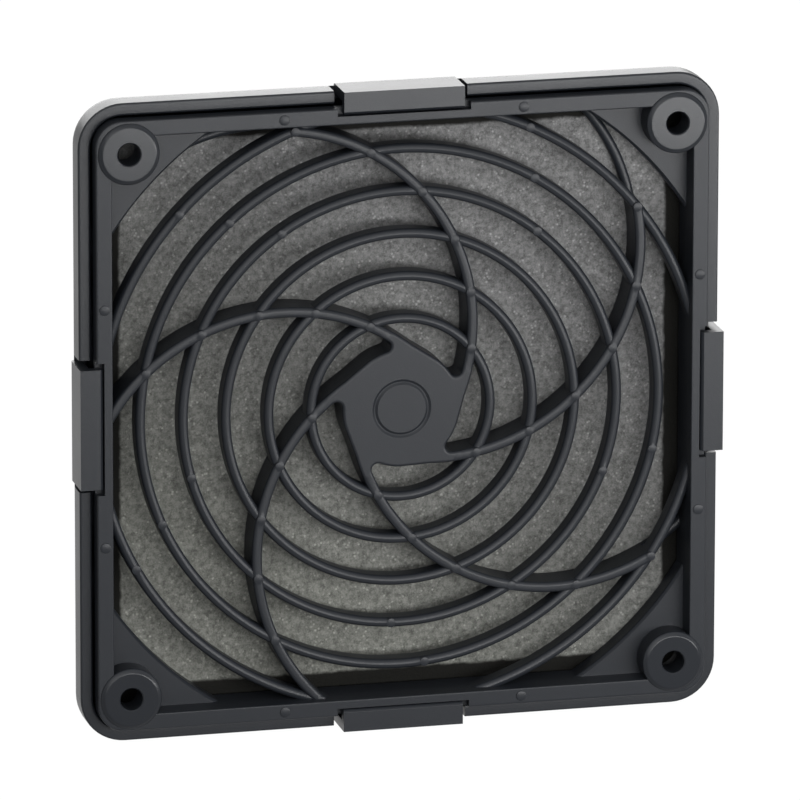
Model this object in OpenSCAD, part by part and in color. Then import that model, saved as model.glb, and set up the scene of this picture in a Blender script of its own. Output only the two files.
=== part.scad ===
// Filter guard for a 120 mm fan: a finger guard that screws to the fan, a foam pad and a cover that clips over both.
// Depths are measured from the plane of the four boss tops, which lie on the fan, toward the cover.
// The fan side faces -Y, the cover's front faces +Y, and +Z is up.

/* [Fan pattern] */
// Distance between the screw holes, centre to centre
hole_pitch = 105; // [98:0.5:110]
// Diameter of the screw holes
hole_d = 4.3; // [3.5:0.1:5.5]
// Diameter of the recess for the screw head, open toward the cover
head_d = 8.4; // [7:0.1:9.2]
// Thickness of the boss floor under the screw head
head_floor = 5.5; // [2:0.1:6.5]

/* [Guard frame] */
// Distance from a hole's centre to the outer edge of the guard
hole_margin = 6.25; // [6:0.05:8]
// Corner radius of the guard
guard_corner_r = 5; // [3.5:0.1:7]
// Width of the border that is seen from the fan side
border_w = 3.05; // [2.6:0.05:3.6]
// Thickness of the wall at its rear edge
wall_t = 1.6; // [1.2:0.05:2]
// How far the inner face of the wall leans inward over its depth
wall_lean = 0.3; // [0.2:0.05:2]
// Depth of the guard, from the boss tops to its front plane
guard_depth = 9; // [8:0.1:13]
// Height of the boss tops over the border
boss_proud = 0.6; // [0.3:0.05:1]
// Diameter of the screw bosses
boss_d = 11.8; // [11:0.1:12]
// Chamfer around the top of the bosses
boss_chamfer = 0.75; // [0.3:0.05:1]
// Distance from a hole's centre to the round edge of its corner web
web_reach = 8.75; // [7.5:0.05:10]
// Depth of the corner webs under the border
web_drop = 4.2; // [3:0.1:5]
// Thickness of the corner webs and of their skirts
web_t = 1.6; // [1.2:0.1:2]
// Thickness of the edge that the snap hooks catch on
catch_t = 1.2; // [0.8:0.1:1.8]

/* [Finger guard] */
// Number of rings
ring_count = 6; // [3:1:7]
// Radius of the first ring
ring_first_r = 17.25; // [16:0.05:19]
// Distance from one ring to the next
ring_step = 8.18; // [7:0.02:9]
// Width of the rings
ring_w = 1.9; // [1.4:0.1:2.6]
// Depth of the rings from crest to foot
ring_h = 3.6; // [2:0.1:5]
// Depth of the ring crests under the border
ring_drop = 1.95; // [1.8:0.05:2.6]
// Number of spokes
spoke_count = 5; // [3:1:7]
// Width of the spokes
spoke_w = 2; // [1.6:0.1:2.8]
// Radius of the spokes' arc
spoke_arc_r = 39.1; // [32:0.1:48]
// Nearest distance of the spokes' arc to the centre of the hub
spoke_near = 9.3; // [8.6:0.1:10.2]
// Direction of the centre of the first spoke's arc
spoke_phase = 148.3; // [0:0.1:360]
// Depth of the spoke crests under the border
spoke_drop = 1.65; // [1.2:0.05:1.75]
// Height of the low ribs that go on past the last ring
low_rib_h = 1.6; // [1:0.1:3]
// How much narrower the low ribs are than the spokes
low_rib_step = 0.2; // [0.1:0.05:0.4]
// Chamfer along the crests
crest_chamfer = 0.35; // [0.1:0.05:0.6]
// Chamfer along the crests of the low ribs
low_rib_chamfer = 0.6; // [0.3:0.05:0.7]

/* [Hub] */
// Radius of the hub
hub_r = 11.7; // [11.2:0.1:13]
// Depth of the hub's face under the spoke crests
hub_drop = 0.08; // [0.04:0.01:0.2]
// Thickness of the hub's plate
hub_plate_t = 2; // [1.2:0.1:3]
// Thickness of the hub's rim
hub_rim_t = 1.6; // [1.2:0.1:2.4]
// Radius of the fillets between the hub and the inner side of the spokes
hub_fillet_r = 0.9; // [0.4:0.05:1.2]
// Diameter of the shallow groove on the hub
groove_d = 10.4; // [8:0.1:16]
// Width of the groove
groove_w = 0.5; // [0.3:0.1:1]
// Depth of the groove
groove_depth = 0.2; // [0.1:0.05:0.5]

/* [Ejector marks] */
// Diameter of the round pads on the rings and spokes
pad_d = 2.2; // [2.1:0.1:3]
// Height of the pads over the crest
pad_proud = 0.06; // [0.04:0.01:0.12]
// Depth of the pads' foot under the crest
pad_sunk = 1; // [0.8:0.1:1.5]
// Diameter of the nibs on the border
nib_d = 2; // [1.4:0.1:2.4]
// Height of the nibs over the border
nib_proud = 0.15; // [0.05:0.05:0.25]
// Distance of the nibs from the middle of each side
nib_offset = 22.9; // [17:0.1:30]

/* [Filter pad] */
// Side of the foam pad
foam_side = 108.5; // [100:0.5:110]
// Corner radius of the foam pad
foam_corner_r = 2; // [1:0.5:12]
// Thickness of the foam pad
foam_t = 3.3; // [2.8:0.1:8]
// Gap between the foam pad and the pieces on each side of it
foam_gap = 0.15; // [0.1:0.05:0.3]

/* [Cover] */
// Gap between the guard's edge and the inside of the cover
rim_gap = 0.35; // [0.3:0.05:0.6]
// Width of the cover's rim
rim_w = 2.4; // [2.1:0.05:3]
// Depth of the cover's rim under the guard's border
rim_drop = 2.9; // [2.4:0.1:4.2]
// Outer corner radius of the cover
cover_corner_r = 8.5; // [7.5:0.1:12]
// Radius of the rounded front edge
front_edge_r = 6.7; // [5:0.1:7]
// Thickness of the front plate
plate_t = 1.4; // [1:0.1:2]
// Half the side of the square window in the front plate
window_half = 51; // [40:0.5:51.5]
// Height of the horizontal slats
slat_h = 2.2; // [1.6:0.1:3]
// Number of open rows between the slats
row_count = 17; // [9:1:19]
// Number of open columns between the vertical ribs
column_count = 4; // [2:1:8]
// Width of the vertical ribs
rib_w = 2; // [1.4:0.1:3]

/* [Snap tabs] */
// Width of the snap tabs
tab_w = 23.1; // [16:0.1:28]
// Gap on each side of a tab
tab_side_gap = 1.2; // [0.8:0.1:1.6]
// Thickness of a tab's arm
arm_t = 2; // [1.8:0.05:2.2]
// How far the arms stand out from the cover's side
arm_proud = 0.4; // [0.2:0.05:0.6]
// Thickness of the hooks
hook_t = 1.8; // [1.4:0.1:2]
// Height of the hooks over the guard's border
hook_proud = 0.1; // [0:0.05:0.3]
// Gap between a hook and the edge it catches on
hook_gap = 0.1; // [0.05:0.05:0.2]
// Gap between the tip of a hook and the guard's wall
hook_tip_gap = 0.3; // [0.2:0.05:0.5]
// Chamfer on the tip of the hooks
hook_chamfer = 0.5; // [0.2:0.1:0.8]
// Depth of the cut in the rim that a tab stands in
tab_cut_depth = 4.6; // [3.6:0.1:4.8]
// Gap around the round root of a tab
root_gap = 0.1; // [0.05:0.05:0.2]

/* [Hidden] */
$fn = 96;
dark_plastic = [0.17, 0.175, 0.185];
grey_foam = [0.42, 0.42, 0.39];
// Cuts run this much past the faces that they break through
past = 1;

// Half sides, from the centre outward
guard_half = hole_pitch / 2 + hole_margin;
opening_half = guard_half - border_w;
wall_out = opening_half + wall_t;
rim_in = guard_half + rim_gap;
cover_half = rim_in + rim_w;
// The ribs end in the middle of the wall
clip_half = opening_half + wall_t / 2;
web_r = hole_pitch / 2 * sqrt(2) - web_reach;

// Depths, from the boss tops toward the cover
border_y = boss_proud;
hook_y = border_y - hook_proud;
catch_y = hook_y + hook_t + hook_gap;
flange_front_y = catch_y + catch_t;
web_y = border_y + web_drop;
ring_y = border_y + ring_drop;
spoke_y = border_y + spoke_drop;
hub_y = spoke_y + hub_drop;
rim_y = border_y + rim_drop;
hinge_y = rim_y + tab_cut_depth;
foam_y = guard_depth + foam_gap;
plate_y = foam_y + foam_t + foam_gap;
cover_front_y = plate_y + plate_t;

// Snap tabs: the arm, the axis of its root and the tip of its hook
arm_out = cover_half + arm_proud;
arm_in = arm_out - arm_t;
root_r = arm_t / 2;
hinge_half = arm_out - root_r;
hook_tip = wall_out + hook_tip_gap;
notch_w = tab_w + 2 * tab_side_gap;

// Spokes: distance from the hub's centre to the centre of the arc
arc_offset = spoke_arc_r - spoke_near;
last_ring_r = ring_first_r + (ring_count - 1) * ring_step;
// A spoke starts inside the hub's rim, and a low rib goes on to the far side of the corner
spoke_start = arc_angle(hub_r - hub_rim_t * 0.7);
spoke_end = arc_angle(last_ring_r);
low_rib_end = 150;

// Round pads on the rings between the spokes: number of the ring and direction
RING_PADS = [[4, 51.3], [5, 59.2], [6, 64.9]];

// Angle at the arc's centre from the nearest point to the point at this distance from the hub
function arc_angle(distance) =
    acos((arc_offset ^ 2 + spoke_arc_r ^ 2 - distance ^ 2) / (2 * arc_offset * spoke_arc_r));

// Direction, seen from the hub, of the point where a circle about the arc's centre has this distance
function crossing_angle(distance, radius = spoke_arc_r) =
    spoke_phase - acos((distance ^ 2 + arc_offset ^ 2 - radius ^ 2) / (2 * distance * arc_offset));

function polar(distance, angle) = distance * [cos(angle), sin(angle)];

// The pieces are drawn flat with the fan side up, then stood up
module stand() {
    rotate([90, 0, 0]) children();
}

module slab(from_y, to_y) {
    translate([0, 0, -to_y]) linear_extrude(to_y - from_y) children();
}

module rounded_square(half, radius) {
    square([2 * half, 2 * (half - radius)], center = true);
    square([2 * (half - radius), 2 * half], center = true);
    for (x = [-1, 1], y = [-1, 1]) {
        translate([x, y] * (half - radius)) circle(radius);
    }
}

module at_corners() {
    for (turn = [0:3]) {
        rotate(90 * turn) translate([1, 1] * hole_pitch / 2) children();
    }
}

module at_sides() {
    for (turn = [0:3]) {
        rotate(90 * turn) children();
    }
}

module at_spokes() {
    for (turn = [0:spoke_count - 1]) {
        rotate(360 / spoke_count * turn) children();
    }
}

// Section of a rib with its foot on the x axis
module rib_section(width, height, chamfer) {
    polygon([
        [-width / 2, 0],
        [width / 2, 0],
        [width / 2, height - chamfer],
        [width / 2 - chamfer, height],
        [chamfer - width / 2, height],
        [-width / 2, height - chamfer]
    ]);
}

// Section of one side of the frame: the flange at the rear and the wall in front of it
module side_section() {
    polygon([
        [opening_half, -border_y],
        [guard_half, -border_y],
        [guard_half, -flange_front_y],
        [wall_out, -flange_front_y],
        [wall_out, -guard_depth],
        [opening_half - wall_lean, -guard_depth]
    ]);
}

module frame() {
    intersection() {
        slab(border_y, guard_depth) rounded_square(guard_half, guard_corner_r);
        at_sides() rotate([90, 0, 0]) linear_extrude(2 * guard_half, center = true) side_section();
    }
}

module wall_corners() {
    slab(flange_front_y - 0.5, guard_depth + past) difference() {
        square(2 * guard_half + past, center = true);
        rounded_square(wall_out, guard_corner_r - (guard_half - wall_out));
    }
}

// The corners that are left outside a circle about the hub
module web_area(radius) {
    difference() {
        square(2 * clip_half, center = true);
        circle(radius);
    }
}

module webs() {
    slab(web_y, web_y + web_t) web_area(web_r);
    slab(web_y, guard_depth) difference() {
        web_area(web_r);
        web_area(web_r + web_t);
    }
}

module bosses() {
    at_corners() {
        slab(boss_chamfer, guard_depth) circle(d = boss_d);
        translate([0, 0, -boss_chamfer])
            cylinder(h = boss_chamfer, d1 = boss_d, d2 = boss_d - 2 * boss_chamfer);
    }
}

module rings() {
    for (index = [0:ring_count - 1]) {
        translate([0, 0, -ring_y - ring_h]) rotate_extrude()
            translate([ring_first_r + index * ring_step, 0]) rib_section(ring_w, ring_h, crest_chamfer);
    }
}

// A stretch of rib along the spoke's arc, from one angle at the arc's centre to another
module arc_rib(from_angle, to_angle, top_y, width, chamfer) {
    translate(polar(arc_offset, spoke_phase))
        rotate(spoke_phase - 180 + from_angle)
            translate([0, 0, -guard_depth])
                rotate_extrude(angle = to_angle - from_angle)
                    translate([spoke_arc_r, 0]) rib_section(width, guard_depth - top_y, chamfer);
}

module spokes() {
    at_spokes() {
        arc_rib(spoke_start, spoke_end, spoke_y, spoke_w, crest_chamfer);
        arc_rib(spoke_end - 1, low_rib_end, guard_depth - low_rib_h, spoke_w - low_rib_step, low_rib_chamfer);
    }
}

// Fills the notch between the hub and the inner side of the first spoke
module hub_fillet() {
    inner_r = spoke_arc_r - spoke_w / 2 - hub_fillet_r;
    fillet_angle = crossing_angle(hub_r + hub_fillet_r, inner_r);
    fillet_at = polar(hub_r + hub_fillet_r, fillet_angle);
    arc_at = polar(arc_offset, spoke_phase);
    difference() {
        polygon([
            fillet_at,
            polar(hub_r - hub_rim_t / 4, fillet_angle),
            polar(hub_r - hub_rim_t / 4, crossing_angle(hub_r)),
            arc_at + (fillet_at - arc_at) * spoke_arc_r / inner_r
        ]);
        translate(fillet_at) circle(hub_fillet_r);
    }
}

module hub() {
    slab(hub_y, guard_depth) {
        circle(hub_r);
        at_spokes() hub_fillet();
    }
}

module hub_cuts() {
    slab(hub_y + hub_plate_t, guard_depth + past) circle(hub_r - hub_rim_t);
    slab(hub_y - past, hub_y + groove_depth) difference() {
        circle(d = groove_d + groove_w);
        circle(d = groove_d - groove_w);
    }
}

module ejector_pads() {
    at_spokes() {
        for (index = [0:ring_count - 1]) {
            radius = ring_first_r + index * ring_step;
            translate(polar(radius, crossing_angle(radius)))
                slab(spoke_y - pad_proud, spoke_y + pad_sunk) circle(d = pad_d, $fn = 32);
        }
        for (pad = RING_PADS) {
            if (pad[0] <= ring_count) {
                translate(polar(ring_first_r + (pad[0] - 1) * ring_step, pad[1]))
                    slab(ring_y - pad_proud, ring_y + pad_sunk) circle(d = pad_d, $fn = 32);
            }
        }
    }
}

module nibs() {
    at_sides() for (side = [-1, 1]) {
        translate([guard_half - border_w / 2, side * nib_offset])
            slab(border_y - nib_proud, border_y + nib_proud) circle(d = nib_d, $fn = 32);
    }
}

// Ribs, hub and marks, ending inside the wall
module lattice() {
    intersection() {
        union() {
            rings();
            spokes();
            hub();
            ejector_pads();
        }
        slab(0, guard_depth) square(2 * clip_half, center = true);
    }
}

module tab_notches() {
    at_sides() translate([wall_out, -notch_w / 2]) slab(-past, catch_y) square([border_w, notch_w]);
}

module guard() {
    color(dark_plastic) stand() difference() {
        union() {
            frame();
            webs();
            bosses();
            lattice();
            nibs();
        }
        wall_corners();
        tab_notches();
        hub_cuts();
        at_corners() slab(-past, guard_depth + past) circle(d = hole_d);
        at_corners() slab(head_floor, guard_depth + past) circle(d = head_d);
    }
}

module filter_pad() {
    color(grey_foam) stand() slab(foam_y, foam_y + foam_t) rounded_square(foam_side / 2, foam_corner_r);
}

// Section with one rounded front corner, its axis at x = 0 and its front edge down
module dome_half_section(reach, edge_r, from_y, to_y) {
    translate([0, edge_r - to_y]) square([reach, to_y - edge_r - from_y]);
    translate([0, -to_y]) square([reach - edge_r, to_y - from_y]);
    intersection() {
        translate([reach - edge_r, edge_r - to_y]) circle(edge_r);
        translate([0, -to_y]) square([reach, edge_r]);
    }
}

// Rounded square block whose front edge is rounded all the way round
module dome(half, corner_r, edge_r, from_y, to_y) {
    straight = half - corner_r;
    at_sides() {
        rotate([90, 0, 0]) linear_extrude(2 * straight, center = true)
            dome_half_section(half, edge_r, from_y, to_y);
        translate([straight, straight]) rotate_extrude(angle = 90)
            dome_half_section(corner_r, edge_r, from_y, to_y);
    }
}

module window() {
    row_pitch = (2 * window_half + slat_h) / row_count;
    column_pitch = (2 * window_half + rib_w) / column_count;
    for (row = [0:row_count - 1], column = [0:column_count - 1]) {
        translate([column * column_pitch, row * row_pitch] - [1, 1] * window_half)
            square([column_pitch - rib_w, row_pitch - slat_h]);
    }
}

// Cut in the rim for one tab, with a half-round seat for the tab's root
module tab_cut() {
    translate([rim_in - past, -notch_w / 2])
        slab(rim_y - past, hinge_y) square([rim_w + arm_proud + 2 * past, notch_w]);
    translate([hinge_half, 0, -hinge_y]) rotate([90, 0, 0])
        cylinder(h = notch_w, r = root_r + root_gap, center = true);
}

module cover() {
    inner_edge_r = front_edge_r - rim_w;
    color(dark_plastic) stand() difference() {
        dome(cover_half, cover_corner_r, front_edge_r, rim_y, cover_front_y);
        dome(rim_in, cover_corner_r - rim_w, inner_edge_r, rim_y - past, plate_y);
        slab(plate_y - past, cover_front_y + past) window();
        at_sides() tab_cut();
    }
}

// One tab on the +x side of the flat drawing: arm, round root and hook
module snap_tab(turn) {
    color(dark_plastic) stand() rotate(90 * turn) rotate([90, 0, 0])
        linear_extrude(tab_w, center = true) {
            polygon([
                [arm_out, -hinge_y],
                [arm_out, -hook_y],
                [hook_tip + hook_chamfer, -hook_y],
                [hook_tip, -hook_y - hook_chamfer],
                [hook_tip, -hook_y - hook_t],
                [arm_in, -hook_y - hook_t],
                [arm_in, -hinge_y]
            ]);
            translate([hinge_half, -hinge_y]) circle(root_r);
        }
}

guard();
filter_pad();
cover();
snap_tab(1);  // snap_tab_top
snap_tab(0);  // snap_tab_right
snap_tab(3);  // snap_tab_bottom
snap_tab(2);  // snap_tab_left
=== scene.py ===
# %% [markdown]
# # Filter guard of a 120 mm fan
# The guard screws to the fan, a foam pad lies in front of its rings, and a cover clips over both.
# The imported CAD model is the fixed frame: it says where every piece is, and what is modelled here fits it.
# Shapes are modelled in millimetres with X to the right, Y from the fan toward the cover and Z up, and each
# finished piece is scaled to metres.

# %% The frame
from math import acos, atan2, copysign, cos, hypot, pi, radians, sin

import bmesh
import bpy
from mathutils import Matrix, Vector, noise


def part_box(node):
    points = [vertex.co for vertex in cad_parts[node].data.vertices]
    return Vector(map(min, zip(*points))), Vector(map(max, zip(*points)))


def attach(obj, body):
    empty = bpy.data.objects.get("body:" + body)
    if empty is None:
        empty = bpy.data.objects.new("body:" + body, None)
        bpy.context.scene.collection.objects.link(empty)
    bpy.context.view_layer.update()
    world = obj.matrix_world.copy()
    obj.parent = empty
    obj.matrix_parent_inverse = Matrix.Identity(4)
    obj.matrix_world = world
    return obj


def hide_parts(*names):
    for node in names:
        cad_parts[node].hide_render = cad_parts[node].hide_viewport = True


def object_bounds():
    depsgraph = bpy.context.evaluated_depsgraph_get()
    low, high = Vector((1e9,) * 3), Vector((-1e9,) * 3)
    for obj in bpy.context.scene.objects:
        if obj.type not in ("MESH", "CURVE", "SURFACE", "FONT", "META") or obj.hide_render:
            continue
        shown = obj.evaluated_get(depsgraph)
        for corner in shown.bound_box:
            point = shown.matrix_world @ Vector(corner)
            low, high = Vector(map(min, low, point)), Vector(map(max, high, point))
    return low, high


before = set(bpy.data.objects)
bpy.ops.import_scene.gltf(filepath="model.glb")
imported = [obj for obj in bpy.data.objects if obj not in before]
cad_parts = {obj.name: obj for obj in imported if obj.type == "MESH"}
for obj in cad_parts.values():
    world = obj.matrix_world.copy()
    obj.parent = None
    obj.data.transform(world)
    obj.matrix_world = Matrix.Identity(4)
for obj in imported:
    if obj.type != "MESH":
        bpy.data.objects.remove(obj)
cad_low, cad_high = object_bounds()
MM = 0.001
FAN_SIDE = Vector((0, -1, 0))


def new_object(name, data):
    """A new object in the scene, with this mesh, camera or light."""
    made = bpy.data.objects.new(name, data)
    bpy.context.scene.collection.objects.link(made)
    return made


def box_mm(node):
    """Lowest and highest corner of a CAD node, in millimetres."""
    low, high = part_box(node)
    return Vector(low) / MM, Vector(high) / MM


print("CAD box in mm:", [round(side / MM, 1) for side in cad_high - cad_low])

# %% [markdown]
# The photograph was taken from the fan side with a very long lens, a little from above and from the left.
# The direction, the distance and the lens come from the four screw holes and the rings. A camera that is
# given as a direction and a distance is easy to check against them.

# %% Camera
CAMERA_AZIMUTH = radians(-13.97)
CAMERA_ELEVATION = radians(15.23)
CAMERA_ROLL = radians(0.11)
CAMERA_DISTANCE = 2137 * MM
CAMERA_LENS_MM = 514.4
SENSOR_WIDTH_MM = 36
# How far the middle of the picture lies from the middle of the boss tops, to the right and up
FRAMING = (-0.9 * MM, 2.2 * MM)


def direction_to(azimuth, elevation):
    """Unit vector from the object toward a place on the fan side."""
    return Vector((sin(azimuth) * cos(elevation), -cos(azimuth) * cos(elevation), sin(elevation)))


def make_camera():
    """A camera on the fan side that looks at the middle of the guard."""
    back = direction_to(CAMERA_AZIMUTH, CAMERA_ELEVATION)
    data = bpy.data.cameras.new("camera")
    data.lens = CAMERA_LENS_MM
    data.sensor_width = SENSOR_WIDTH_MM
    data.clip_start = 0.1
    data.clip_end = 20
    made = new_object("camera", data)
    turn = back.to_track_quat("Z", "Y").to_matrix() @ Matrix.Rotation(CAMERA_ROLL, 3, "Z")
    made.matrix_world = turn.to_4x4()
    made.location = back * CAMERA_DISTANCE + turn @ Vector((*FRAMING, 0))
    bpy.context.scene.camera = made
    return made


camera = make_camera()
print("camera at", [round(value, 3) for value in camera.location])

# %% [markdown]
# Nearly everything on this object is a moulded section that was carried along a path: round a circle for
# a ring, along an arc for a spoke, round a square for the frame. So a section is drawn once as a flat face,
# its corners are rounded while it is still flat, and then it is spun or swept. Rounding two corners of a
# section is much easier than finding and bevelling the long edges that they become.

# %% Sections
# Points closer than this become one
MERGE_WITHIN = 0.002
# Points closer than this to the axis lie on it
ON_AXIS_WITHIN = 1e-4


def section(points, rounded=()):
    """A flat outline in the X-Y plane. rounded lists (corner number, radius, steps)."""
    bm = bmesh.new()
    verts = [bm.verts.new((x, y, 0)) for x, y in points]
    bm.faces.new(verts)
    for corner, radius, steps in rounded:
        bmesh.ops.bevel(bm, geom=[verts[corner]], offset=radius, offset_type="OFFSET", segments=steps,
                        profile=0.5, affect="VERTICES", material=-1)
    return bm


def spin_whole(bm, steps):
    """Carries a section once round the axis of the fan."""
    bmesh.ops.delete(bm, geom=bm.faces[:], context="FACES_ONLY")
    on_axis = [edge for edge in bm.edges if all(vert.co.x < ON_AXIS_WITHIN for vert in edge.verts)]
    bmesh.ops.delete(bm, geom=on_axis, context="EDGES")
    bmesh.ops.spin(bm, geom=bm.verts[:] + bm.edges[:], cent=(0, 0, 0), axis=FAN_SIDE, dvec=(0, 0, 0),
                   angle=2 * pi, steps=steps, use_merge=True)
    bmesh.ops.remove_doubles(bm, verts=bm.verts, dist=MERGE_WITHIN)
    return bm


def spin_part(bm, angle, steps):
    """Carries a section through part of a turn, and leaves it closed at both ends."""
    bmesh.ops.spin(bm, geom=bm.verts[:] + bm.edges[:] + bm.faces[:], cent=(0, 0, 0), axis=FAN_SIDE,
                   dvec=(0, 0, 0), angle=angle, steps=steps, use_merge=False)
    return bm


square = section([(0, 0), (1, 0), (1, 1), (0, 1)], [(0, 0.2, 3)])
print("a square section with one rounded corner has", len(square.verts), "points")
square.free()

# %% [markdown]
# A ring needs a spin and nothing more. The frame's square path needs four straight runs and four quarter
# turns, each of which starts from the edges that the last one ended with. Places on the guard are easiest
# to give as a distance from its axis and a direction, as on a clock face that runs the other way.

# %% Turns and paths
ROUND_STEPS = 192


def turn_by(angle):
    """Rotation that runs anticlockwise as seen from the fan side."""
    return Matrix.Rotation(-angle, 3, "Y")


def polar(distance, angle):
    """Point at a distance from the axis, in a direction that runs anticlockwise from the right."""
    return Vector((distance * cos(angle), 0, distance * sin(angle)))


def four_ways():
    """Places for the same thing on all four sides."""
    return [turn_by(pi / 2 * side).to_4x4() for side in range(4)]


def move(bm, way):
    """Moves all of a mesh."""
    bmesh.ops.translate(bm, verts=bm.verts, vec=way)


def only(kind, items):
    """The vertices or the edges among what an operator made."""
    return [item for item in items if isinstance(item, kind)]


def sweep_square(bm, straight, corner_steps):
    """Carries a section, drawn on the right, round a square. straight is where its straight sides end."""
    bmesh.ops.delete(bm, geom=bm.faces[:], context="FACES_ONLY")
    move(bm, (0, 0, -straight))
    edges = bm.edges[:]
    for side in range(4):
        turn = turn_by(pi / 2 * side)
        run = bmesh.ops.extrude_edge_only(bm, edges=edges)["geom"]
        moved = only(bmesh.types.BMVert, run)
        ends = only(bmesh.types.BMEdge, run)
        bmesh.ops.translate(bm, verts=moved, vec=turn @ Vector((0, 0, 2 * straight)))
        corner = turn @ Vector((straight, 0, straight))
        bend = bmesh.ops.spin(bm, geom=moved + ends, cent=corner, axis=FAN_SIDE, dvec=(0, 0, 0),
                              angle=pi / 2, steps=corner_steps, use_merge=False)
        edges = only(bmesh.types.BMEdge, bend["geom_last"])
    bmesh.ops.remove_doubles(bm, verts=bm.verts, dist=MERGE_WITHIN)
    return bm


def extrude_faces(bm, way):
    """Carries all faces along a vector, and leaves a closed solid."""
    run = bmesh.ops.extrude_face_region(bm, geom=bm.faces[:])["geom"]
    bmesh.ops.translate(bm, verts=only(bmesh.types.BMVert, run), vec=way)
    return bm


def extrude_along(bm, length):
    """Gives a flat section a length along Z, centred."""
    move(bm, (0, 0, -length / 2))
    return extrude_faces(bm, (0, 0, length))


def block(half, from_y, to_y):
    """A square slab, centred on the axis."""
    bm = bmesh.new()
    bmesh.ops.create_cube(bm, size=1)
    bmesh.ops.scale(bm, verts=bm.verts, vec=(2 * half, to_y - from_y, 2 * half))
    move(bm, (0, (from_y + to_y) / 2, 0))
    return bm


def disc(radius, from_y, to_y):
    """A plain round solid on the axis."""
    return spin_whole(section([(0, from_y), (radius, from_y), (radius, to_y), (0, to_y)]), ROUND_STEPS)


print("the four sides look along", [tuple(round(value) for value in place @ Vector((1, 0, 0)))
                                    for place in four_ways()])

# %% [markdown]
# The solids overlap where they meet, as the cavities of a mould do, so they are joined with Boolean
# modifiers. The Manifold solver is quick and always gives a closed mesh, as long as each solid is closed.
# Every solid gets its normals turned outward first, because spinning can leave a shape inside out.

# %% Joining solids
SOLVER = "MANIFOLD"
# Edges that turn less than this are shaded as smooth
SMOOTH_BELOW = 32


def open_edges(bm):
    """How many edges of a mesh don't have exactly two faces."""
    return sum(len(edge.link_faces) != 2 for edge in bm.edges)


def add_copy(whole, bm, place=Matrix.Identity(4)):
    """Adds a copy of a solid, moved to its place, to a larger mesh."""
    mesh = bpy.data.meshes.new("copy")
    bm.to_mesh(mesh)
    mesh.transform(place)
    whole.from_mesh(mesh)
    bpy.data.meshes.remove(mesh)


def as_object(name, bm, copies=(Matrix.Identity(4),)):
    """An object in millimetres that holds one or more copies of a closed solid."""
    bmesh.ops.recalc_face_normals(bm, faces=bm.faces)
    if open_edges(bm):
        print(name, "isn't closed:", open_edges(bm), "open edges")
    whole = bmesh.new()
    for place in copies:
        add_copy(whole, bm, place)
    bm.free()
    mesh = bpy.data.meshes.new(name)
    whole.to_mesh(mesh)
    whole.free()
    return new_object(name, mesh)


def combine(name, start, steps):
    """Applies Boolean steps, a list of (operation, object), and returns one object with the result."""
    for operation, other in steps:
        step = start.modifiers.new(other.name, "BOOLEAN")
        step.operation = operation
        step.solver = SOLVER
        step.object = other
    evaluated = start.evaluated_get(bpy.context.evaluated_depsgraph_get())
    mesh = bpy.data.meshes.new_from_object(evaluated)
    mesh.name = name
    made = new_object(name, mesh)
    for used in [start] + [other for operation, other in steps]:
        bpy.data.objects.remove(used)
    return made


def finish_piece(piece, body, material, smooth_below=SMOOTH_BELOW):
    """Scales a piece to metres, shades it and puts it on its body."""
    piece.data.transform(Matrix.Scale(MM, 4))
    piece.data.shade_smooth()
    piece.data.set_sharp_from_angle(angle=radians(smooth_below))
    piece.data.materials.clear()
    piece.data.materials.append(material)
    weighted = piece.modifiers.new("weighted_normals", "WEIGHTED_NORMAL")
    weighted.keep_sharp = True
    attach(piece, body)
    check = bmesh.new()
    check.from_mesh(piece.data)
    print(piece.name, "has", len(check.faces), "faces and", open_edges(check), "open edges")
    check.free()
    return piece


print("solids are joined by the", SOLVER, "solver")

# %% [markdown]
# A material is a net of small nodes. Setting up each node takes several lines that always say the same, so
# the few kinds of step that come back in every material here are functions.

# %% Steps of a material
def new_material(name):
    """A material with its nodes, its links and its main shader."""
    material = bpy.data.materials.new(name)
    material.use_nodes = True
    nodes = material.node_tree.nodes
    return material, nodes, material.node_tree.links, nodes["Principled BSDF"]


def feed(links, socket, value):
    """Gives a socket a fixed number or colour, or links it to another node."""
    if isinstance(value, tuple):
        value = (*value, 1)
    if isinstance(value, (int, float, tuple)):
        socket.default_value = value
    else:
        links.new(value, socket)


def worked_out(nodes, links, operation, *values):
    """The result of a calculation with numbers and outputs of nodes."""
    node = nodes.new("ShaderNodeMath")
    node.operation = operation
    for socket, value in zip(node.inputs, values):
        feed(links, socket, value)
    return node.outputs[0]


def noise_of(nodes, links, per_metre, detail=2, roughness=0.5):
    """A cloudy pattern that is fixed to the object."""
    texture = nodes.new("ShaderNodeTexNoise")
    feed(links, texture.inputs["Scale"], per_metre)
    texture.inputs["Detail"].default_value = detail
    texture.inputs["Roughness"].default_value = roughness
    links.new(nodes.new("ShaderNodeTexCoord").outputs["Object"], texture.inputs["Vector"])
    return texture.outputs["Fac"]


def add_bump(nodes, links, shader, height, depth, strength):
    """Makes a surface look as uneven as this height, with a depth in metres."""
    bump = nodes.new("ShaderNodeBump")
    bump.inputs["Distance"].default_value = depth
    bump.inputs["Strength"].default_value = strength
    links.new(height, bump.inputs["Height"])
    links.new(bump.outputs["Normal"], shader.inputs["Normal"])


print("materials from the CAD:", len(bpy.data.materials))

# %% [markdown]
# The guard and the cover are black moulded plastic, semi-matt from a fine spark-eroded mould. Nearly all of
# its light is reflection, so the grain matters more than the colour: small bumps spread the reflection and
# a slow change of roughness keeps large faces from looking like paint. One node group gives the grain and
# each material uses it with its own values.

# %% Mould grain
SLOW_PER_METRE = 60


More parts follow.
